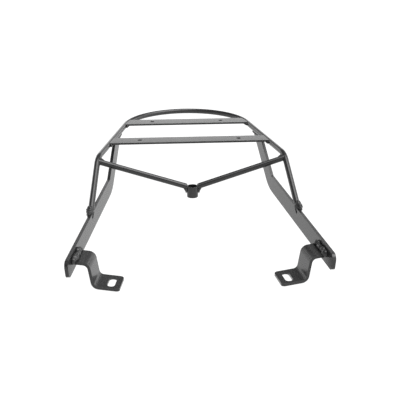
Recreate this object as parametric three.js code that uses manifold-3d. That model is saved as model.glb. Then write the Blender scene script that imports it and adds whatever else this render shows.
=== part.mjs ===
// Rear luggage rack of welded round bar and flat bar, in millimetres, +Z up.
// X runs across the rack, -Y is the mounting end, +Y the rounded tail of the hoop.
// The rack is symmetric about X = 0, so each right-hand piece is mirrored to the left.

import * as THREE from 'three';
import { mergeVertices } from 'three/addons/utils/BufferGeometryUtils.js';
import Module from 'manifold-3d';

const wasm = await Module();
wasm.setup();

// Driving dimensions: millimetres, and degrees where the name ends in ANGLE.
const BAR_D = 10;              // round bar of the hoop and the brace rods
const GAP = 0.3;               // clearance left between touching pieces

const DECK_Z = 113.5;          // height of the hoop's centreline above the bracket bend
const HOOP_HALF_WIDTH = 161.5; // hoop centreline at its front corners, from the mid-plane
const HOOP_LENGTH = 306;       // front corners to the tail of the hoop centreline
const RAIL_ANGLE = 11.3;       // inward lean of each side rail towards the tail
const CORNER_BEND_R = 50;      // centreline radius where a rail turns down into a leg

const CROSSBAR_W = 32;         // flat bar across the deck
const CROSSBAR_T = 3.5;
const CROSSBAR_DROP = 0.5;     // crossbar top below the top of the round bar
const FRONT_BAR_Y = 68.5;      // front edges of the two crossbars
const REAR_BAR_Y = 194;
const CROSSBAR_HOLE_D = 8;
const FRONT_HOLE_X = 90.5;     // hole centres from the mid-plane
const REAR_HOLE_X = 67.5;

const BOSS_BORE = 15.8;        // upright sleeve where the brace rods meet
const BOSS_WALL = 1.8;
const BOSS_H = 19.6;
const BOSS_Y = -21;
const BOSS_TOP_Z = 65.2;
const BOSS_CHAMFER = 0.5;
const BRACE_START_Y = -7.5;    // where a brace rod leaves the hoop corner
const BRACE_RISE = 3.9;        // rod axes meet this far below the top of the boss

const PLATE_T = 5.5;           // side plates, flat bar on edge
const PLATE_H = 25;
const PLATE_OUTBOARD = 2.1;    // plate's middle outwards of the rail's, where they meet
const PLATE_FOOT_Y = -276;     // start of the plate's own length scale
const PLATE_TOE_ANGLE = 8.5;   // plates close in towards the tail
const PLATE_LEAN_ANGLE = 4.5;  // top edges lean outwards
const RUN_ANGLE = 2.4;         // rise of the long lower run
const UPRIGHT_ANGLE = 29;      // rise of the run that reaches the rail
const KNEE_S = 316;            // top-edge knee, measured along the plate from its foot
const KNEE_Z = 60.2;
const KNEE_TOP_R = 3;
const KNEE_BOTTOM_R = 95;
const PLATE_START_S = -2;
const NOSE_TOP_R = 10;
const NOSE_BOTTOM_R = 6;
const LEG_FOOT_S = 176;        // where a leg lands on the plate's top edge
const LEG_OUTBOARD = 1.85;     // leg axis there, outwards of the plate's middle
const UPRIGHT_LAP = 1.5;       // plate's top end above the lowest line of the rail
const UPRIGHT_END_FACE = 3.5;  // short upright end of the plate under the rail

const BRACKET_T = 4.5;         // folded strip welded inside each plate
const BRACKET_W = 42;
const BRACKET_S = 42;          // middle of the strip along the plate
const FLANGE_REACH = 25.3;     // plate face to the upper fold
const BRACKET_TILT_ANGLE = 5;  // flange and tab fall towards the mid-plane
const WEB_DROP = 36.8;
const WEB_LEAN_ANGLE = 9;
const TAB_LENGTH = 37;
const TAB_CORNER_R = 6;
const FOLD_INNER_R = 7.5;
const SLOT_W = 11.5;
const SLOT_LENGTH = 31;
const SLOT_FROM_END = 14.7;

const WELD_R = 2.6;            // section radius of the straight weld beads
const BRACKET_WELD_R = 5.2;
const BRACKET_WELD_AT = [1.6, 0.9];  // its middle line from the plate's middle, above the flange
const BRACKET_WELD_OVERRUN = 3;  // past both edges of the strip
const WELD_SINK = 0.4;         // a bead's middle line behind the corner that it fills
// Collars that spread where a brace rod ends: length, then the reach past the rod at its
// end on one side, on the other side and across.
const CORNER_WELD = [14, 12, 1, 0.8];  // first side towards the tail
const BOSS_WELD = [9.5, -1, 8, 0.4];   // first side up
const FOOT_WELD = [8, 3.5, 0.7];       // reach past the leg: along it, along the plate, across
const FOOT_WELD_FORWARD = 3.5;         // its middle from the leg's, towards the mounting end

const BAR_SIDES = 32;
const BOSS_SIDES = 36;
const WELD_SIDES = 12;
const COLLAR_SIDES = 24;
const COLLAR_STEPS = 6;
const STEP_ANGLE = 6;          // largest turn between the points of an arc

// Named directions and derived sizes.
const rad = THREE.MathUtils.degToRad;
const X_AXIS = new THREE.Vector3(1, 0, 0);
const Z_AXIS = new THREE.Vector3(0, 0, 1);
const BAR_R = BAR_D / 2;
const BOSS_R = BOSS_BORE / 2 + BOSS_WALL;
const railAngle = rad(RAIL_ANGLE);
const toe = rad(PLATE_TOE_ANGLE);
const lean = rad(PLATE_LEAN_ANGLE);
const tailRadius = (HOOP_HALF_WIDTH - Math.tan(railAngle) * HOOP_LENGTH)
  * Math.cos(railAngle) / (1 - Math.sin(railAngle));
const tailCentreY = HOOP_LENGTH - tailRadius;
const tailTangentY = tailCentreY + tailRadius * Math.sin(railAngle);
const crossbarTopZ = DECK_Z + BAR_R - CROSSBAR_DROP;
const crossbarBottomZ = crossbarTopZ - CROSSBAR_T;
const vec = (x, y, z) => new THREE.Vector3(x, y, z);

// ---- solids ----------------------------------------------------------------

function toSolid(geometry) {
  const bare = geometry.clone();
  bare.deleteAttribute('normal');
  bare.deleteAttribute('uv');
  const merged = mergeVertices(bare, 1e-4);
  return new wasm.Manifold(new wasm.Mesh({
    numProp: 3,
    vertProperties: new Float32Array(merged.attributes.position.array),
    triVerts: new Uint32Array(merged.index.array),
  }));
}

function toGeometry(solid) {
  const mesh = solid.getMesh();
  const geometry = new THREE.BufferGeometry();
  geometry.setAttribute('position', new THREE.BufferAttribute(mesh.vertProperties, 3));
  geometry.setIndex(new THREE.BufferAttribute(mesh.triVerts, 1));
  return geometry;
}

function cut(geometry, ...tools) {
  let solid = toSolid(geometry);
  for (const tool of tools) {
    solid = solid.subtract(toSolid(tool));
  }
  return toGeometry(solid);
}

function common(geometry, other) {
  return toGeometry(toSolid(geometry).intersect(toSolid(other)));
}

// Reflects a geometry in the mid-plane and turns its triangles back outwards.
function mirrored(geometry) {
  const source = mergeVertices(stripped(geometry), 1e-5);
  const copy = source.clone().applyMatrix4(new THREE.Matrix4().makeScale(-1, 1, 1));
  const index = copy.index.array;
  for (let i = 0; i < index.length; i += 3) {
    [index[i], index[i + 1]] = [index[i + 1], index[i]];
  }
  return copy;
}

function stripped(geometry) {
  const bare = geometry.clone();
  for (const name of ['normal', 'uv']) {
    if (bare.attributes[name]) {
      bare.deleteAttribute(name);
    }
  }
  return bare;
}

// ---- curves and outlines ----------------------------------------------------

// A path through given stations, so straight lengths take no extra sections.
class StationPath extends THREE.Curve {
  constructor(stations) {
    super();
    this.stations = stations;
  }

  getPoint(u) {
    const last = this.stations.length - 1;
    return this.stations[Math.round(u * last)].point.clone();
  }

  getPointAt(u) {
    return this.getPoint(u);
  }

  getSpacedPoints() {
    return this.stations.map((station) => station.point.clone());
  }

  getTangentAt(u) {
    const last = this.stations.length - 1;
    return this.stations[Math.round(u * last)].tangent.clone();
  }
}

function circleShape(radius) {
  const shape = new THREE.Shape();
  shape.absarc(0, 0, radius, 0, 2 * Math.PI, false);
  return shape;
}

function barAlong(stations, radius, sides = BAR_SIDES) {
  return new THREE.ExtrudeGeometry(circleShape(radius), {
    steps: stations.length - 1,
    curveSegments: sides / 2,
    extrudePath: new StationPath(stations),
  });
}

function straightBar(from, to, radius, sides = BAR_SIDES) {
  const tangent = to.clone().sub(from).normalize();
  return barAlong([{ point: from, tangent }, { point: to, tangent }], radius, sides);
}

// Stations of a round bend at a corner, between two unit directions.
function bendStations(corner, dirIn, dirOut, radius) {
  const angle = dirIn.angleTo(dirOut);
  const steps = Math.ceil(angle / rad(STEP_ANGLE));
  const back = radius * Math.tan(angle / 2);
  const start = corner.clone().addScaledVector(dirIn, -back);
  const axis = dirIn.clone().cross(dirOut).normalize();
  const inward = axis.clone().cross(dirIn);
  const centre = start.clone().addScaledVector(inward, radius);
  const stations = [];
  for (let i = 0; i <= steps; i += 1) {
    const turn = angle * i / steps;
    const arm = inward.clone().multiplyScalar(-radius).applyAxisAngle(axis, turn);
    stations.push({
      point: centre.clone().add(arm),
      tangent: dirIn.clone().applyAxisAngle(axis, turn),
    });
  }
  return stations;
}

// Outline points of a polygon whose corners [x, y, radius] are rounded by arcs.
function roundedPoints(corners) {
  const points = [];
  corners.forEach(([x, y, radius], i) => {
    const here = new THREE.Vector2(x, y);
    const before = corners[(i + corners.length - 1) % corners.length];
    const after = corners[(i + 1) % corners.length];
    const dirIn = here.clone().sub(new THREE.Vector2(before[0], before[1])).normalize();
    const dirOut = new THREE.Vector2(after[0], after[1]).sub(here).normalize();
    const turn = Math.atan2(dirIn.cross(dirOut), dirIn.dot(dirOut));
    if (!radius) {
      points.push(here);
      return;
    }
    const back = radius * Math.tan(Math.abs(turn) / 2);
    const side = Math.sign(turn);
    const start = here.clone().addScaledVector(dirIn, -back);
    const inward = new THREE.Vector2(-dirIn.y, dirIn.x).multiplyScalar(side * radius);
    const centre = start.clone().add(inward);
    const steps = Math.max(2, Math.ceil(Math.abs(turn) / rad(STEP_ANGLE)));
    for (let k = 0; k <= steps; k += 1) {
      points.push(start.clone().rotateAround(centre, turn * k / steps));
    }
  });
  return points;
}

function prism(points, depth, offset = 0) {
  const geometry = new THREE.ExtrudeGeometry(new THREE.Shape(points), {
    depth,
    steps: 1,
    bevelEnabled: false,
  });
  return geometry.translate(0, 0, offset);
}

// A collar round a bar: thin at its start, and spreading towards the bar's end in a hollow curve.
function collar(end, axis, side, [length, reachNear, reachFar, reachAcross]) {
  const geometry = new THREE.CylinderGeometry(1, 1, length, COLLAR_SIDES, COLLAR_STEPS);
  const place = geometry.attributes.position;
  for (let i = 0; i < place.count; i += 1) {
    const y = place.getY(i) - length / 2;
    const spread = (1 + y / length) ** 2;
    const halfSide = BAR_R - WELD_SINK + spread * (reachNear + reachFar) / 2;
    const halfAcross = BAR_R - WELD_SINK + spread * reachAcross;
    const shift = spread * (reachNear - reachFar) / 2;
    place.setXYZ(i, place.getX(i) * halfSide + shift, y, place.getZ(i) * halfAcross);
  }
  const across = side.clone().cross(axis).normalize();
  const frame = new THREE.Matrix4().makeBasis(axis.clone().cross(across), axis, across);
  return geometry.applyMatrix4(frame.setPosition(end));
}

// An ellipsoid with its three radii along three given directions.
function blob(centre, along, across, radii) {
  const a = along.clone().normalize();
  const c = a.clone().cross(across).normalize();
  const b = c.clone().cross(a);
  const frame = new THREE.Matrix4().makeBasis(
    a.multiplyScalar(radii[0]),
    b.multiplyScalar(radii[1]),
    c.multiplyScalar(radii[2]),
  ).setPosition(centre);
  return new THREE.SphereGeometry(1, 18, 10).applyMatrix4(frame);
}

// A straight bead with round ends.
function bead(from, to, radius) {
  const dir = to.clone().sub(from);
  const length = dir.length();
  const turn = new THREE.Quaternion().setFromUnitVectors(vec(0, 1, 0), dir.normalize());
  const middle = from.clone().add(to).multiplyScalar(0.5);
  return new THREE.CapsuleGeometry(radius, length, 3, WELD_SIDES)
    .applyQuaternion(turn)
    .translate(middle.x, middle.y, middle.z);
}

// ---- hoop line ----------------------------------------------------------------

// Half-width of the hoop centreline at a distance from the front corners.
function hoopHalfWidth(y) {
  if (y < tailTangentY) {
    return HOOP_HALF_WIDTH - Math.tan(railAngle) * y;
  }
  return Math.sqrt(tailRadius ** 2 - (y - tailCentreY) ** 2);
}

// ---- frames of the side plate -----------------------------------------------

// Heights on the plate are measured up its lean, from height zero at its foot.
const plateAlong = vec(-Math.sin(toe), Math.cos(toe), 0);
const plateOut = vec(Math.cos(toe), Math.sin(toe), 0);
const plateUp = Z_AXIS.clone().multiplyScalar(Math.cos(lean)).addScaledVector(plateOut, Math.sin(lean));
const plateNormal = plateAlong.clone().cross(plateUp);

const runSlope = Math.tan(rad(RUN_ANGLE));
const uprightSlope = Math.tan(rad(UPRIGHT_ANGLE));
const uprightTop = DECK_Z - BAR_R + UPRIGHT_LAP;
const uprightReach = (t) => KNEE_S + (t - KNEE_Z) / uprightSlope;
const plateTopAt = (s) => KNEE_Z + (s - KNEE_S) * (s < KNEE_S ? runSlope : uprightSlope);
const plateMidAt = (s) => plateTopAt(s) - PLATE_H / 2 / Math.cos(rad(RUN_ANGLE));

// The foot is placed so that the top of the upright comes under the rail.
function plateFoot() {
  const reach = plateAlong.clone().multiplyScalar(uprightReach(uprightTop))
    .addScaledVector(plateUp, uprightTop)
    .addScaledVector(plateNormal, PLATE_T / 2);
  const railX = hoopHalfWidth(PLATE_FOOT_Y + reach.y);
  return vec(railX + PLATE_OUTBOARD - reach.x, PLATE_FOOT_Y, 0);
}

const plateOrigin = plateFoot();
const plateFrame = new THREE.Matrix4().makeBasis(plateAlong, plateUp, plateNormal)
  .setPosition(plateOrigin);
const bracketFrame = new THREE.Matrix4()
  .makeBasis(plateOut.clone().negate(), Z_AXIS, plateAlong)
  .setPosition(plateOrigin);
const onPlate = (s, t, out = 0) => vec(s, t, out).applyMatrix4(plateFrame);

// ---- hoop -------------------------------------------------------------------

const hoopCorner = vec(HOOP_HALF_WIDTH, 0, DECK_Z);
const railDir = vec(Math.sin(railAngle), -Math.cos(railAngle), 0);
const legFoot = onPlate(LEG_FOOT_S, plateTopAt(LEG_FOOT_S), PLATE_T / 2 + LEG_OUTBOARD);
const legDir = legFoot.clone().sub(hoopCorner).normalize();
const plateRunDir = onPlate(1, runSlope).sub(onPlate(0, 0)).normalize();
const legOverrun = BAR_R / Math.tan(legDir.angleTo(plateRunDir.clone().negate())) + BAR_R;

// Stations from the tail of the hoop to the foot of the right leg.
function rightHoopStations() {
  const stations = [];
  const turn = Math.PI / 2 - railAngle;
  const steps = Math.ceil(turn / rad(STEP_ANGLE / 2));
  for (let i = 1; i <= steps; i += 1) {
    const a = Math.PI / 2 - turn * i / steps;
    stations.push({
      point: vec(tailRadius * Math.cos(a), tailCentreY + tailRadius * Math.sin(a), DECK_Z),
      tangent: vec(Math.sin(a), -Math.cos(a), 0),
    });
  }
  stations.push(...bendStations(hoopCorner, railDir, legDir, CORNER_BEND_R));
  stations.push({
    point: legFoot.clone().addScaledVector(legDir, legOverrun),
    tangent: legDir.clone(),
  });
  return stations;
}

function hoopStations() {
  const right = rightHoopStations();
  const left = right.map(({ point, tangent }) => ({
    point: vec(-point.x, point.y, point.z),
    tangent: vec(tangent.x, -tangent.y, -tangent.z),
  })).reverse();
  const tail = { point: vec(0, HOOP_LENGTH, DECK_Z), tangent: X_AXIS.clone() };
  return [...left, tail, ...right];
}

// A block that takes away the end of a leg below its plate's top edge.
function belowPlateTop() {
  const size = 6 * BAR_D;
  return new THREE.BoxGeometry(2 * size, size, size)
    .translate(0, -size / 2 + GAP, 0)
    .rotateZ(rad(RUN_ANGLE))
    .translate(LEG_FOOT_S, plateTopAt(LEG_FOOT_S), PLATE_T / 2)
    .applyMatrix4(plateFrame);
}

const hoopBlank = (extra) => barAlong(hoopStations(), BAR_R + extra);
const hoopGrown = hoopBlank(GAP);

function hoopBar() {
  const foot = belowPlateTop();
  return cut(hoopBlank(0), foot, mirrored(foot));
}

// ---- crossbars ---------------------------------------------------------------

function crossbarPoints(frontY) {
  const rearY = frontY + CROSSBAR_W;
  const front = hoopHalfWidth(frontY);
  const rear = hoopHalfWidth(rearY);
  return [[-front, frontY], [front, frontY], [rear, rearY], [-rear, rearY]]
    .map(([x, y]) => new THREE.Vector2(x, y));
}

function crossbar(frontY, holeX) {
  const shape = new THREE.Shape(crossbarPoints(frontY));
  for (const side of [-1, 1]) {
    const hole = new THREE.Path();
    hole.absarc(side * holeX, frontY + CROSSBAR_W / 2, CROSSBAR_HOLE_D / 2, 0, 2 * Math.PI, true);
    shape.holes.push(hole);
  }
  const blank = new THREE.ExtrudeGeometry(shape, {
    depth: CROSSBAR_T,
    steps: 1,
    bevelEnabled: false,
    curveSegments: 12,
  }).translate(0, 0, crossbarBottomZ);
  return cut(blank, hoopGrown);
}

function crossbarGrown(frontY) {
  const rearY = frontY + CROSSBAR_W + GAP;
  const nearY = frontY - GAP;
  const points = [[-1, nearY], [1, nearY], [1, rearY], [-1, rearY]]
    .map(([side, y]) => new THREE.Vector2(side * (hoopHalfWidth(y) - 1), y));
  return prism(points, CROSSBAR_T + 2 * GAP, crossbarBottomZ - GAP);
}

// The bead under the end of a crossbar, which shows at the bar's front corner.
function crossbarWeld(frontY) {
  const offset = BAR_R + WELD_SINK;
  const z = crossbarBottomZ - WELD_SINK;
  const rearY = frontY + CROSSBAR_W;
  const from = vec(hoopHalfWidth(frontY) - offset, frontY - WELD_R / 2, z);
  const to = vec(hoopHalfWidth(rearY) - offset, rearY - WELD_R / 2, z);
  return cut(bead(from, to, WELD_R), hoopGrown, crossbarGrown(frontY));
}

// ---- braces and boss ------------------------------------------------------------

const braceEnd = vec(0, BOSS_Y, BOSS_TOP_Z - BRACE_RISE);
const braceStart = hoopCorner.clone()
  .addScaledVector(legDir, BRACE_START_Y / legDir.y)
  .setY(BRACE_START_Y);
const braceDir = braceEnd.clone().sub(braceStart).normalize();
const bossColumn = new THREE.CylinderGeometry(BOSS_R + GAP, BOSS_R + GAP, 3 * BOSS_H, BOSS_SIDES)
  .rotateX(Math.PI / 2)
  .translate(0, BOSS_Y, BOSS_TOP_Z - BOSS_H / 2);

function braceRod() {
  return cut(straightBar(braceStart, braceEnd, BAR_R), hoopGrown, bossColumn);
}

function braceGrown() {
  return straightBar(braceStart, braceEnd, BAR_R + GAP);
}

function bossSleeve() {
  const inner = BOSS_BORE / 2;
  const c = BOSS_CHAMFER;
  const profile = [
    [inner, 0], [BOSS_R - c, 0], [BOSS_R, c], [BOSS_R, BOSS_H - c], [BOSS_R - c, BOSS_H],
    [inner, BOSS_H], [inner, 0],
  ].map(([r, z]) => new THREE.Vector2(r, z));
  return new THREE.LatheGeometry(profile, BOSS_SIDES).rotateX(Math.PI / 2);
}

// The fillet in the corner between a brace rod and the hoop, fuller on the rail's side.
function braceCornerWeld() {
  const end = braceStart.clone().addScaledVector(braceDir, BAR_R / 2);
  const blank = collar(end, braceDir.clone().negate(), railDir.clone().negate(), CORNER_WELD);
  return cut(blank, hoopGrown, braceGrown());
}

// The fillet between a brace rod and the boss, which runs down the boss below the rod.
function braceBossWeld() {
  const end = braceEnd.clone().addScaledVector(braceDir, -BOSS_R + BOSS_WALL);
  return cut(collar(end, braceDir, Z_AXIS, BOSS_WELD), bossColumn, braceGrown());
}

// ---- side plates ------------------------------------------------------------------

function platePoints(grow = 0) {
  const halfRun = PLATE_H / Math.cos(rad(RUN_ANGLE));
  const halfUp = PLATE_H / Math.cos(rad(UPRIGHT_ANGLE));
  const lowRun = (s) => KNEE_Z + (s - KNEE_S) * runSlope - halfRun;
  const kneeLowS = KNEE_S + (halfUp - halfRun) / (uprightSlope - runSlope);
  const endS = uprightReach(uprightTop - UPRIGHT_END_FACE + halfUp);
  return roundedPoints([
    [PLATE_START_S, lowRun(PLATE_START_S) - grow, NOSE_BOTTOM_R],
    [kneeLowS, lowRun(kneeLowS) - grow, KNEE_BOTTOM_R],
    [endS, uprightTop - UPRIGHT_END_FACE, 0],
    [endS, uprightTop, 0],
    [uprightReach(uprightTop), uprightTop, 0],
    [KNEE_S, KNEE_Z + grow, KNEE_TOP_R],
    [PLATE_START_S, plateTopAt(PLATE_START_S) + grow, NOSE_TOP_R],
  ]);
}

function sidePlate() {
  return cut(prism(platePoints(), PLATE_T).applyMatrix4(plateFrame), hoopGrown);
}

function plateGrown() {
  return prism(platePoints(GAP), PLATE_T + 2 * GAP, -GAP).applyMatrix4(plateFrame);
}

function legFootWeld() {
  const centre = legFoot.clone().addScaledVector(plateRunDir, -FOOT_WELD_FORWARD);
  const radii = FOOT_WELD.map((reach) => BAR_R + reach);
  return cut(blob(centre, legDir, plateRunDir, radii), hoopGrown, plateGrown());
}

// The bead along the inside of an upright's top end, under the rail.
function uprightTopWeld() {
  const height = DECK_Z - BAR_R - WELD_SINK;
  const run = PLATE_H / Math.sin(rad(UPRIGHT_ANGLE));
  const inside = WELD_R / 2;
  const from = onPlate(uprightReach(height) + 2 * WELD_R, height, -inside);
  const to = onPlate(uprightReach(height) + run - 4 * WELD_R, height, -inside);
  return cut(bead(from, to, WELD_R), hoopGrown, plateGrown());
}

// ---- mounting brackets ---------------------------------------------------------------

const tilt = rad(BRACKET_TILT_ANGLE);
const flangeZ = plateMidAt(BRACKET_S) + BRACKET_T / 2;
const flangeX = -Math.tan(lean) * flangeZ;
const upperFold = new THREE.Vector2(flangeX + FLANGE_REACH, flangeZ - FLANGE_REACH * Math.tan(tilt));
const lowerFold = upperFold.clone()
  .add(new THREE.Vector2(WEB_DROP * Math.tan(rad(WEB_LEAN_ANGLE)), -WEB_DROP));
const tabEnd = lowerFold.clone()
  .add(new THREE.Vector2(Math.cos(tilt), -Math.sin(tilt)).multiplyScalar(TAB_LENGTH));

// The strip's folded section: its upper face, then the same lines set back by its thickness.
function bracketSection(start = flangeX - PLATE_T / 2, extra = 0) {
  const webTurn = Math.PI / 2 - rad(WEB_LEAN_ANGLE) - tilt;
  const shift = (BRACKET_T + extra) * Math.tan(webTurn / 2);
  const down = new THREE.Vector2(-Math.sin(tilt), -Math.cos(tilt)).multiplyScalar(BRACKET_T + extra);
  const fall = new THREE.Vector2(Math.cos(tilt), -Math.sin(tilt));
  const head = new THREE.Vector2(start, upperFold.y + (upperFold.x - start) * Math.tan(tilt));
  const outer = FOLD_INNER_R + BRACKET_T;
  const upperBack = upperFold.clone().add(down).addScaledVector(fall, -shift);
  const lowerBack = lowerFold.clone().add(down).addScaledVector(fall, -shift);
  return roundedPoints([
    [head.x, head.y, 0],
    [head.x + down.x, head.y + down.y, 0],
    [upperBack.x, upperBack.y, FOLD_INNER_R],
    [lowerBack.x, lowerBack.y, outer],
    [tabEnd.x + down.x, tabEnd.y + down.y, 0],
    [tabEnd.x, tabEnd.y, 0],
    [lowerFold.x, lowerFold.y, FOLD_INNER_R],
    [upperFold.x, upperFold.y, outer],
  ]);
}

function slotTool() {
  const half = SLOT_LENGTH / 2 - SLOT_W / 2;
  const r = SLOT_W / 2;
  const shape = new THREE.Shape();
  shape.absarc(0, half, r, 0, Math.PI, false);
  shape.absarc(0, -half, r, Math.PI, 2 * Math.PI, false);
  const x = tabEnd.x - SLOT_FROM_END * Math.cos(tilt);
  const y = tabEnd.y + SLOT_FROM_END * Math.sin(tilt);
  const depth = 8 * BRACKET_T;
  return new THREE.ExtrudeGeometry(shape, { depth, steps: 1, bevelEnabled: false, curveSegments: 10 })
    .translate(0, 0, -depth / 2)
    .rotateX(Math.PI / 2)
    .rotateZ(-tilt)
    .translate(x, y, BRACKET_S);
}

function bracket() {
  const strip = prism(bracketSection(), 2 * BRACKET_W, BRACKET_S - BRACKET_W);
  const shaped = cut(common(strip, bracketPlan()), slotTool());
  return cut(shaped.applyMatrix4(bracketFrame), plateGrown());
}

// Plan view of the strip as a tall prism, with the tab's two free corners rounded.
function bracketPlan() {
  const half = BRACKET_W / 2;
  const outline = roundedPoints([
    [-BRACKET_W, -half, 0],
    [tabEnd.x, -half, TAB_CORNER_R],
    [tabEnd.x, half, TAB_CORNER_R],
    [-BRACKET_W, half, 0],
  ]);
  const height = 4 * (WEB_DROP + TAB_LENGTH);
  return prism(outline, height, -height / 2)
    .rotateX(Math.PI / 2)
    .translate(0, flangeZ, BRACKET_S);
}

function bracketGrown() {
  return prism(bracketSection(flangeX - PLATE_T, 2 * GAP), BRACKET_W + 2 * GAP,
    BRACKET_S - BRACKET_W / 2 - GAP)
    .translate(0, GAP, 0)
    .applyMatrix4(bracketFrame);
}

function bracketWeld() {
  const half = BRACKET_W / 2 + BRACKET_WELD_OVERRUN - BRACKET_WELD_R;
  const [out, above] = BRACKET_WELD_AT;
  const at = (s) => vec(flangeX + out, flangeZ + above, s).applyMatrix4(bracketFrame);
  const blank = bead(at(BRACKET_S - half), at(BRACKET_S + half), BRACKET_WELD_R);
  return cut(blank, bracketGrown(), plateGrown());
}

// ---- assembly --------------------------------------------------------------------------

const paint = (color, roughness) => new THREE.MeshStandardMaterial({ color, roughness, metalness: 0.35 });
const barPaint = () => paint(0x2e2f31, 0.45);
const flatPaint = () => paint(0x3a3b3d, 0.5);
const weldPaint = () => paint(0x333436, 0.6);

function named(name, geometry, material) {
  const mesh = new THREE.Mesh(geometry, material);
  mesh.name = name;
  return mesh;
}

function pair(stem, geometry, coat) {
  return [
    named(`left_${stem}`, mirrored(geometry), coat()),
    named(`right_${stem}`, geometry, coat()),
  ];
}

const deck = new THREE.Group();
deck.add(named('hoop_bar', hoopBar(), barPaint()));
deck.add(named('front_crossbar', crossbar(FRONT_BAR_Y, FRONT_HOLE_X), flatPaint()));
deck.add(named('rear_crossbar', crossbar(REAR_BAR_Y, REAR_HOLE_X), flatPaint()));
deck.add(...pair('front_crossbar_weld', crossbarWeld(FRONT_BAR_Y), weldPaint));
deck.add(...pair('rear_crossbar_weld', crossbarWeld(REAR_BAR_Y), weldPaint));

const brace = new THREE.Group();
brace.add(...pair('brace_rod', braceRod(), barPaint));
brace.add(...pair('brace_corner_weld', braceCornerWeld(), weldPaint));
brace.add(...pair('brace_boss_weld', braceBossWeld(), weldPaint));
const boss = named('centre_boss', bossSleeve(), barPaint());
boss.position.set(0, BOSS_Y, BOSS_TOP_Z - BOSS_H);
brace.add(boss);

const sides = new THREE.Group();
sides.add(...pair('side_plate', sidePlate(), flatPaint));
sides.add(...pair('leg_foot_weld', legFootWeld(), weldPaint));
sides.add(...pair('upright_top_weld', uprightTopWeld(), weldPaint));
sides.add(...pair('mounting_bracket', bracket(), flatPaint));
sides.add(...pair('bracket_weld', bracketWeld(), weldPaint));

// The origin is the bottom centre of the rack's bounding box.
const rack = new THREE.Group();
rack.add(deck, brace, sides);
const bounds = new THREE.Box3().setFromObject(rack);
rack.position.set(0, -(bounds.min.y + bounds.max.y) / 2, -bounds.min.z);
rack.updateMatrixWorld(true);

export default rack;
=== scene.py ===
import math
from collections import namedtuple

import bpy
import numpy as np
from mathutils import Matrix, Vector, noise


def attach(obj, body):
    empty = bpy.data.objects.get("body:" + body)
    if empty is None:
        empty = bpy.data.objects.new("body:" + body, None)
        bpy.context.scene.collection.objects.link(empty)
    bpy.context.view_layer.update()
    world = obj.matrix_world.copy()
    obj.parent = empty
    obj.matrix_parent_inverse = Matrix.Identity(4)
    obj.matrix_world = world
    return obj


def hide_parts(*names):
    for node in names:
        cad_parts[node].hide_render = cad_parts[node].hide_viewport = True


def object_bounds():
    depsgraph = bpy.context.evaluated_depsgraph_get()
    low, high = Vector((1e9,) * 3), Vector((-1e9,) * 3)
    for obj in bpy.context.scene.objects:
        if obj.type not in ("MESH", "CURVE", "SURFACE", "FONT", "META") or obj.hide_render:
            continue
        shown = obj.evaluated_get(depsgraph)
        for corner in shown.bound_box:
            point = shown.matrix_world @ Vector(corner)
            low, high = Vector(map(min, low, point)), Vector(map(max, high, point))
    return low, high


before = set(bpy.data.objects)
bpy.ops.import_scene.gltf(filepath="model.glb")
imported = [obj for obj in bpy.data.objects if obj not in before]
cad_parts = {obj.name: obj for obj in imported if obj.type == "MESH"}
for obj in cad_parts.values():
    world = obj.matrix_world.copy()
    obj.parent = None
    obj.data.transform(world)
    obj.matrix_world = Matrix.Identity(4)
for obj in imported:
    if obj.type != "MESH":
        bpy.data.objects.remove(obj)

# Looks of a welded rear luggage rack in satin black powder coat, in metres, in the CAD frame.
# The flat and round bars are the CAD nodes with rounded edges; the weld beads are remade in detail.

MM = 0.001
cad_low, cad_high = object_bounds()

# ---- camera -----------------------------------------------------------------

CAMERA_PLACE = Vector((-0.0595, -1.3009, 0.5350))
CAMERA_HEADING = math.radians(-3.281)   # turned towards +X
CAMERA_TILT = math.radians(21.092)      # down from the horizon
CAMERA_ROLL = math.radians(-0.261)
CAMERA_CLIP = (0.01, 200.0)             # nearest and farthest seen
SENSOR_WIDTH_MM = 36.0
LENS_MM = 70.05

# ---- finish -----------------------------------------------------------------

COAT_DARK = (0.010, 0.0101, 0.0104, 1.0)
COAT_LIGHT = (0.016, 0.0161, 0.0165, 1.0)
# Colour of the painted highlight along the rounded edges, standing in for light caught by their
# rounding.
COAT_EDGE_HIGHLIGHT = (0.05, 0.05, 0.052, 1.0)

# Feature sizes of the coat's noises.
CLOUD_SIZE = 45 * MM
HIGHLIGHT_BREAK_SIZE = 6 * MM
PEEL_SIZE = 2.2 * MM
GRAIN_SIZE = 0.5 * MM

CLOUD_RANGE = (0.35, 0.65)      # noise values where the coat is all dark and all light
NOISE_RANGE = (0.3, 0.7)        # noise values that carry the breakup of the painted edge highlight and the grain
HIGHLIGHT_REACH = 0.9 * MM           # how far from an edge the painted highlight reaches
HIGHLIGHT_TURN = (0.999, 0.93)       # cosine of the turn to the edge where the painted highlight starts and is full
HIGHLIGHT_LEAST = 0.25               # painted highlight on the faintest stretches of an edge
ROUGHNESS_SPREAD = 0.05
COAT_IOR = 1.5
COAT_SPECULAR = 0.5
PEEL_BUMP = (0.5, 0.03 * MM)    # strength and height of the orange peel
GRAIN_BUMP = (0.35, 0.01 * MM)  # strength and height of the grain

# Rounding of the CAD nodes' edges.
STRIP_ROUNDING = 0.7 * MM       # crossbars and folded brackets
PLATE_ROUNDING = 0.9 * MM
BAR_ROUNDING = 0.2 * MM
SLEEVE_ROUNDING = 0.45 * MM
ROUNDING_STEPS = 3
SHARP_FROM = math.radians(32)   # edges that turn more than this are rounded
MERGE = 0.002 * MM              # joins the corners that faces share

# ---- light ------------------------------------------------------------------

SKY_BASE = 0.25
# Soft boxes in the sky: direction, radiance, full inside and none outside (degrees).
SKY_BOXES = (
    ((0.30, -0.12, 0.93), 5.0, 14.0, 38.0),
    ((0.95, -0.25, 0.20), 1.2, 25.0, 60.0),
)
WALL = 1.6                      # radiance of the pale wall round the horizon, above the base
WALL_TOP = (0.27, 0.42)         # sine of the elevation where the wall starts and ends fading
# The wall is dimmer before the rack: Y of the direction, and share of its radiance there.
WALL_FRONT = (-0.6, 0.45)
WALL_BACK = (0.4, 1.0)

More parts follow.
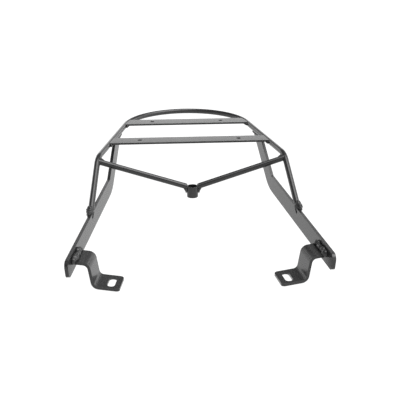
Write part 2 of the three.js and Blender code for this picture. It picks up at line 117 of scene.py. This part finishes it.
FLOOR_HALF = 40.0
FLOOR_DROP = 0.1 * MM           # keeps the floor clear of the rack's lowest face
FLOOR_COLOUR = (0.08, 0.08, 0.08, 1.0)
FLOOR_ROUGHNESS = 0.9
FLOOR_GLOW = 1.02               # the floor's own light, which makes it near white
WHITE = (1.0, 1.0, 1.0, 1.0)


def add_to_scene(piece):
    bpy.context.scene.collection.objects.link(piece)
    return piece


# ---- materials --------------------------------------------------------------


def mix(nodes, links, factor, low, high):
    """A colour mix of two colours or sockets by a factor socket."""
    node = nodes.new("ShaderNodeMix")
    node.data_type = "RGBA"
    links.new(factor, node.inputs["Factor"])
    for name, value in (("A", low), ("B", high)):
        socket = [s for s in node.inputs if s.name == name and s.type == "RGBA"][0]
        if isinstance(value, bpy.types.NodeSocket):
            links.new(value, socket)
        else:
            socket.default_value = value
    return [s for s in node.outputs if s.type == "RGBA"][0]


def ranged(nodes, links, value, low_in, high_in, low_out, high_out):
    """A socket's value carried from one range to another, and held inside it."""
    node = nodes.new("ShaderNodeMapRange")
    links.new(value, node.inputs["Value"])
    for name, number in (
        ("From Min", low_in), ("From Max", high_in), ("To Min", low_out), ("To Max", high_out),
    ):
        node.inputs[name].default_value = number
    return node.outputs["Result"]


def noise_at(nodes, links, place, size, detail):
    """Noise whose features are about size metres across."""
    node = nodes.new("ShaderNodeTexNoise")
    links.new(place, node.inputs["Vector"])
    node.inputs["Scale"].default_value = 1.0 / size
    node.inputs["Detail"].default_value = detail
    return node.outputs["Fac"]


def edge_mask(nodes, links, radius):
    """About 1 within radius of an edge, and 0 on flat faces."""
    bevel = nodes.new("ShaderNodeBevel")
    bevel.samples = 4
    bevel.inputs["Radius"].default_value = radius
    geometry = nodes.new("ShaderNodeNewGeometry")
    dot = nodes.new("ShaderNodeVectorMath")
    dot.operation = "DOT_PRODUCT"
    links.new(bevel.outputs["Normal"], dot.inputs[0])
    links.new(geometry.outputs["True Normal"], dot.inputs[1])
    return ranged(nodes, links, dot.outputs["Value"], *HIGHLIGHT_TURN, 0.0, 1.0)


def bump(nodes, links, height, strength, distance):
    """A bump node of a height socket."""
    node = nodes.new("ShaderNodeBump")
    node.inputs["Strength"].default_value = strength
    node.inputs["Distance"].default_value = distance
    links.new(height, node.inputs["Height"])
    return node


def powder_coat(name, roughness, peel, edges=True):
    """Satin black powder coat: cloudy near-black, orange peel, fine grain, and a painted highlight that
    makes the rounded edges lighter.
    """
    material = bpy.data.materials.new(name)
    material.use_nodes = True
    nodes, links = material.node_tree.nodes, material.node_tree.links
    shader = nodes["Principled BSDF"]
    place = nodes.new("ShaderNodeTexCoord").outputs["Object"]

    clouds = noise_at(nodes, links, place, CLOUD_SIZE, 3.0)
    patches = ranged(nodes, links, clouds, *CLOUD_RANGE, 0.0, 1.0)
    colour = mix(nodes, links, patches, COAT_DARK, COAT_LIGHT)
    # Painted highlight: the edges are mixed towards a lighter colour, broken up by noise, in place of
    # light caught by their rounding.
    if edges:
        edge_highlight = nodes.new("ShaderNodeMath")
        edge_highlight.operation = "MULTIPLY"
        links.new(edge_mask(nodes, links, HIGHLIGHT_REACH), edge_highlight.inputs[0])
        highlight_breakup = noise_at(nodes, links, place, HIGHLIGHT_BREAK_SIZE, 4.0)
        links.new(ranged(nodes, links, highlight_breakup, *NOISE_RANGE, HIGHLIGHT_LEAST, 1.0), edge_highlight.inputs[1])
        colour = mix(nodes, links, edge_highlight.outputs["Value"], colour, COAT_EDGE_HIGHLIGHT)
    links.new(colour, shader.inputs["Base Color"])

    grain = noise_at(nodes, links, place, GRAIN_SIZE, 2.0)
    rough = ranged(nodes, links, grain, *NOISE_RANGE,
                   roughness - ROUGHNESS_SPREAD, roughness + ROUGHNESS_SPREAD)
    links.new(rough, shader.inputs["Roughness"])
    shader.inputs["Metallic"].default_value = 0.0
    shader.inputs["IOR"].default_value = COAT_IOR
    shader.inputs["Specular IOR Level"].default_value = COAT_SPECULAR

    pitted = noise_at(nodes, links, place, PEEL_SIZE, 1.5)
    orange_peel = bump(nodes, links, pitted, PEEL_BUMP[0], PEEL_BUMP[1] * peel)
    fine = bump(nodes, links, grain, GRAIN_BUMP[0], GRAIN_BUMP[1] * peel)
    links.new(orange_peel.outputs["Normal"], fine.inputs["Normal"])
    links.new(fine.outputs["Normal"], shader.inputs["Normal"])
    return material


round_paint = powder_coat("powder_coat_round_bar", roughness=0.22, peel=0.4)
flat_paint = powder_coat("powder_coat_flat_bar", roughness=0.26, peel=0.35)
weld_paint = powder_coat("powder_coat_weld", roughness=0.34, peel=1.6, edges=False)

# ---- CAD nodes that stay ----------------------------------------------------


def round_edges(node, material, width):
    """Gives a CAD node rounded edges and smooth shading, by modifiers alone."""
    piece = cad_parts[node]
    piece.data.materials.clear()
    piece.data.materials.append(material)
    piece.data.polygons.foreach_set("use_smooth", [True] * len(piece.data.polygons))
    join = piece.modifiers.new("join_corners", "WELD")
    join.merge_threshold = MERGE
    bevel = piece.modifiers.new("rounded_edges", "BEVEL")
    bevel.width = width
    bevel.segments = ROUNDING_STEPS
    bevel.limit_method = "ANGLE"
    bevel.angle_limit = SHARP_FROM
    bevel.harden_normals = True
    shading = piece.modifiers.new("even_shading", "WEIGHTED_NORMAL")
    shading.keep_sharp = True


for name in ("front_crossbar", "rear_crossbar"):
    round_edges(name, flat_paint, STRIP_ROUNDING)
for side in ("left", "right"):
    round_edges(f"{side}_side_plate", flat_paint, PLATE_ROUNDING)
    round_edges(f"{side}_mounting_bracket", flat_paint, STRIP_ROUNDING)
    round_edges(f"{side}_brace_rod", round_paint, BAR_ROUNDING)
round_edges("hoop_bar", round_paint, BAR_ROUNDING)
round_edges("centre_boss", round_paint, SLEEVE_ROUNDING)

# ---- weld beads -------------------------------------------------------------

# Pitch and height of a bead's ripples, then size and height of its lumps.
Weld = namedtuple("Weld", "pitch height lump_size lump_height")
RUN_WELD = Weld(3.4 * MM, 0.55 * MM, 4.5 * MM, 0.5 * MM)
HEAVY_WELD = Weld(8.0 * MM, 1.2 * MM, 9.0 * MM, 2.4 * MM)
FOOT_WELD = Weld(3.6 * MM, 1.9 * MM, 4.2 * MM, 1.6 * MM)
SMOOTH_WELD = Weld(4.0 * MM, 0.25 * MM, 7.0 * MM, 0.4 * MM)

# How each node's name ends, its kind of weld, and whether its ripples run round the brace rod.
WELDS = (
    ("front_crossbar_weld", RUN_WELD, False),
    ("rear_crossbar_weld", RUN_WELD, False),
    ("upright_top_weld", RUN_WELD, False),
    ("bracket_weld", HEAVY_WELD, False),
    ("brace_corner_weld", SMOOTH_WELD, True),
    ("brace_boss_weld", SMOOTH_WELD, True),
    ("leg_foot_weld", FOOT_WELD, False),
)

GAP_FILL = 0.45 * MM            # grows a bead into the pieces that it joins
VOXEL = 0.55 * MM
SMOOTH_PASSES = 4
RIPPLE_BOW = 0.12 / MM          # how far a ripple trails at the sides of a bead
RIPPLE_LEAN = 0.7               # under 1, a ripple rises faster than it falls
RIPPLE_SHARE = 0.6              # share of the ripple height that is used
RIPPLE_LEVEL = 0.7              # ripples above this stand out, and lower ones sink in
LUMP_STEP = Vector((7.31, 3.17, 5.43))  # moves the lumps' noise from one bead to the next


def corners_of(mesh):
    co = np.zeros(len(mesh.vertices) * 3)
    mesh.vertices.foreach_get("co", co)
    return co.reshape(-1, 3)


def normals_of(mesh):
    normals = np.zeros(len(mesh.vertices) * 3)
    mesh.vertex_normals.foreach_get("vector", normals)
    return normals.reshape(-1, 3)


def main_axis(points):
    """Centre and longest direction of a cloud of points."""
    centre = points.mean(0)
    _, _, axes = np.linalg.svd(points - centre, full_matrices=False)
    return centre, axes[0]


def remeshed(node):
    """The node's solid as a fine even mesh, in a new object."""
    piece = add_to_scene(bpy.data.objects.new(node + "_bead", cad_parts[node].data.copy()))
    join = piece.modifiers.new("join_corners", "WELD")
    join.merge_threshold = MERGE
    grid = piece.modifiers.new("even_grid", "REMESH")
    grid.mode = "VOXEL"
    grid.voxel_size = VOXEL
    even = piece.modifiers.new("soften", "SMOOTH")
    even.iterations = SMOOTH_PASSES
    bpy.context.view_layer.update()
    fine = bpy.data.meshes.new_from_object(
        piece.evaluated_get(bpy.context.evaluated_depsgraph_get()))
    piece.modifiers.clear()
    piece.data = fine
    return piece


def ripple(distance, sideways, pitch):
    """Height, from 0 to 1, of the weld's overlapping scales at a distance along the run."""
    phase = (distance + RIPPLE_BOW * sideways ** 2) / pitch
    saw = phase - np.floor(phase)
    return np.sin(np.pi * saw ** RIPPLE_LEAN)


def lumps(points, seed, size):
    """Slow random swelling of a hand-made bead, from about -1 to 1."""
    shift = seed * LUMP_STEP
    return np.array([noise.noise(Vector(p) / size + shift) for p in points])


def weld_bead(node, seed, weld, around=None):
    """A bead with ripples along its length, or around a bar given as (centre, direction)."""
    piece = remeshed(node)
    points, normals = corners_of(piece.data), normals_of(piece.data)
    centre, axis = around or main_axis(points)
    offset = points - centre
    along = offset @ axis
    across = offset - np.outer(along, axis)
    reach = np.linalg.norm(across, axis=1)
    if around:
        side = np.cross(axis, (0.0, 0.0, 1.0))
        side /= np.linalg.norm(side)
        angle = np.arctan2(across @ np.cross(axis, side), across @ side)
        scales = ripple(angle * np.median(reach), along, weld.pitch)
    else:
        scales = ripple(along, reach, weld.pitch)
    swell = weld.lump_height * lumps(points, seed, weld.lump_size)
    grown = GAP_FILL + RIPPLE_SHARE * weld.height * (scales - RIPPLE_LEVEL) + swell
    points += normals * grown[:, None]
    piece.data.vertices.foreach_set("co", points.ravel())
    piece.data.update()
    piece.data.polygons.foreach_set("use_smooth", [True] * len(piece.data.polygons))
    piece.data.materials.clear()
    piece.data.materials.append(weld_paint)
    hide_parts(node)
    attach(piece, "root")


def rod_axis(side):
    return main_axis(corners_of(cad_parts[f"{side}_brace_rod"].data))


for number, side in enumerate(("left", "right")):
    for place, (ending, weld, round_rod) in enumerate(WELDS):
        seed = 1 + 2 * place + number
        weld_bead(f"{side}_{ending}", seed, weld, rod_axis(side) if round_rod else None)

# ---- floor, light and camera ------------------------------------------------


def floor_material():
    material = bpy.data.materials.new("pale_floor")
    material.use_nodes = True
    shader = material.node_tree.nodes["Principled BSDF"]
    shader.inputs["Base Color"].default_value = FLOOR_COLOUR
    shader.inputs["Roughness"].default_value = FLOOR_ROUGHNESS
    shader.inputs["Specular IOR Level"].default_value = 0.0
    shader.inputs["Emission Color"].default_value = WHITE
    shader.inputs["Emission Strength"].default_value = FLOOR_GLOW
    return material


def build_floor():
    z = cad_low[2] - FLOOR_DROP
    mesh = bpy.data.meshes.new("floor")
    corners = [(-FLOOR_HALF, -FLOOR_HALF, z), (FLOOR_HALF, -FLOOR_HALF, z),
               (FLOOR_HALF, FLOOR_HALF, z), (-FLOOR_HALF, FLOOR_HALF, z)]
    mesh.from_pydata(corners, [], [(0, 1, 2, 3)])
    mesh.materials.append(floor_material())
    floor = add_to_scene(bpy.data.objects.new("floor", mesh))


def world_node(kind, operation, *values):
    """A maths node in the sky's shader, and its result."""
    tree = bpy.context.scene.world.node_tree
    node = tree.nodes.new(kind)
    node.operation = operation
    for socket, value in zip(node.inputs, values):
        if isinstance(value, bpy.types.NodeSocket):
            tree.links.new(value, socket)
        else:
            socket.default_value = value
    return node.outputs["Value"]


def build_sky():
    """A dim sky with soft boxes, and a pale wall round the horizon that is brighter behind the rack."""
    world = bpy.data.worlds.new("studio")
    bpy.context.scene.world = world
    world.use_nodes = True
    nodes, links = world.node_tree.nodes, world.node_tree.links
    direction = nodes.new("ShaderNodeTexCoord").outputs["Generated"]
    parts = nodes.new("ShaderNodeSeparateXYZ")
    links.new(direction, parts.inputs[0])
    total = SKY_BASE
    for box, radiance, inner, outer in SKY_BOXES:
        dot = world_node("ShaderNodeVectorMath", "DOT_PRODUCT", direction, Vector(box).normalized())
        soft = ranged(nodes, links, dot, math.cos(math.radians(outer)),
                      math.cos(math.radians(inner)), 0.0, radiance)
        total = world_node("ShaderNodeMath", "ADD", soft, total)
    low = ranged(nodes, links, parts.outputs["Z"], *WALL_TOP, WALL, 0.0)
    behind = ranged(nodes, links, parts.outputs["Y"],
                    WALL_FRONT[0], WALL_BACK[0], WALL_FRONT[1], WALL_BACK[1])
    wall = world_node("ShaderNodeMath", "MULTIPLY", low, behind)
    total = world_node("ShaderNodeMath", "ADD", wall, total)
    background = nodes["Background"]
    background.inputs["Color"].default_value = WHITE
    links.new(total, background.inputs["Strength"])


def build_camera():
    data = bpy.data.cameras.new("camera")
    data.sensor_width = SENSOR_WIDTH_MM
    data.lens = LENS_MM
    data.clip_start, data.clip_end = CAMERA_CLIP
    camera = add_to_scene(bpy.data.objects.new("camera", data))
    turn = (Matrix.Rotation(CAMERA_HEADING, 4, "Z")
            @ Matrix.Rotation(math.pi / 2 - CAMERA_TILT, 4, "X")
            @ Matrix.Rotation(CAMERA_ROLL, 4, "Z"))
    camera.matrix_world = Matrix.Translation(CAMERA_PLACE) @ turn
    bpy.context.scene.camera = camera


build_floor()
build_sky()
build_camera()
bpy.context.scene.view_settings.view_transform = "Standard"
